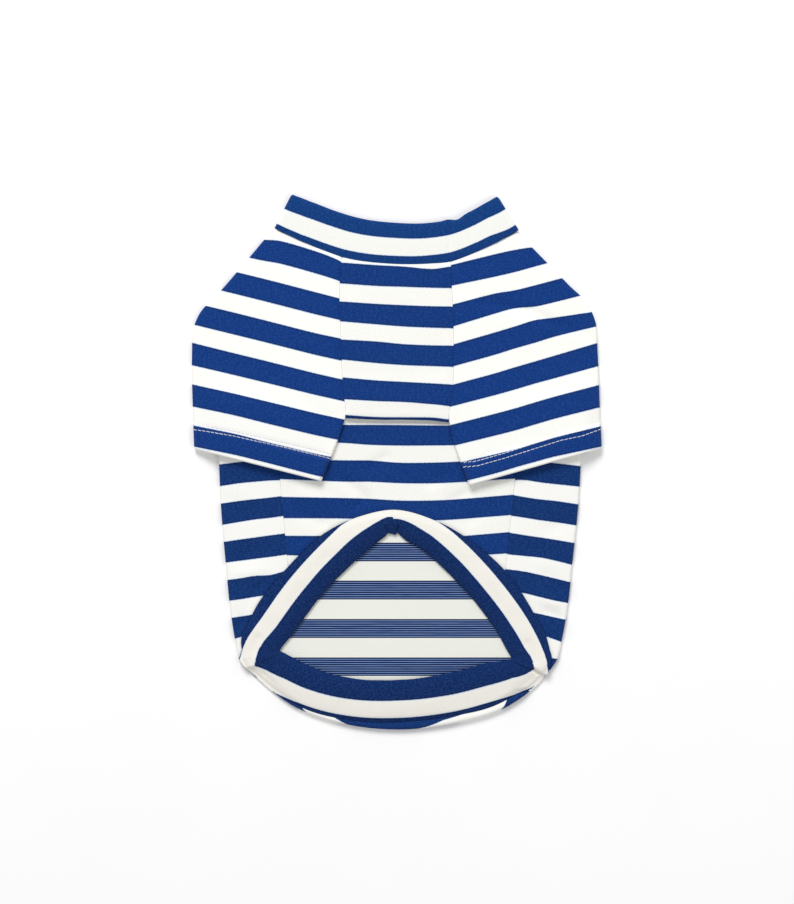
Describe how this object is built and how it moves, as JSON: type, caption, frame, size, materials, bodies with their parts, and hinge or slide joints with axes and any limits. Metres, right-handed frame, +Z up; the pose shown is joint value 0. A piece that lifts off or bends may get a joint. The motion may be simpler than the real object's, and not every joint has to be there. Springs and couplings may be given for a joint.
{
  "type": "dog shirt",
  "caption": "Striped knit dog shirt laid flat, belly side up, with a standing collar, raglan sleeves, a tucked chest and an arched hem band.",
  "frame": {"origin": "on the table, below the middle of the garment's outline", "axes": "+Y runs along the dog's back toward the neck, +X to the right seen from above with the belly side up, +Z up off the table"},
  "size_m": [0.2544, 0.3321, 0.0097],
  "materials": {
    "collar_knit": "plain knit in blue and white stripes",
    "back_knit": "plain knit in blue and white stripes",
    "belly_knit": "plain knit in blue and white stripes",
    "sleeve_left_knit": "plain knit in blue and white stripes",
    "sleeve_right_knit": "plain knit in blue and white stripes",
    "hem_knit": "plain knit in blue and white stripes"
  },
  "bodies": {
    "root": {"neck_band": "collar_knit", "back_panel": "back_knit", "belly_panel": "belly_knit", "sleeve_left": "sleeve_left_knit", "sleeve_right": "sleeve_right_knit", "hem_band": "hem_knit"}
  },
  "joints": []
}
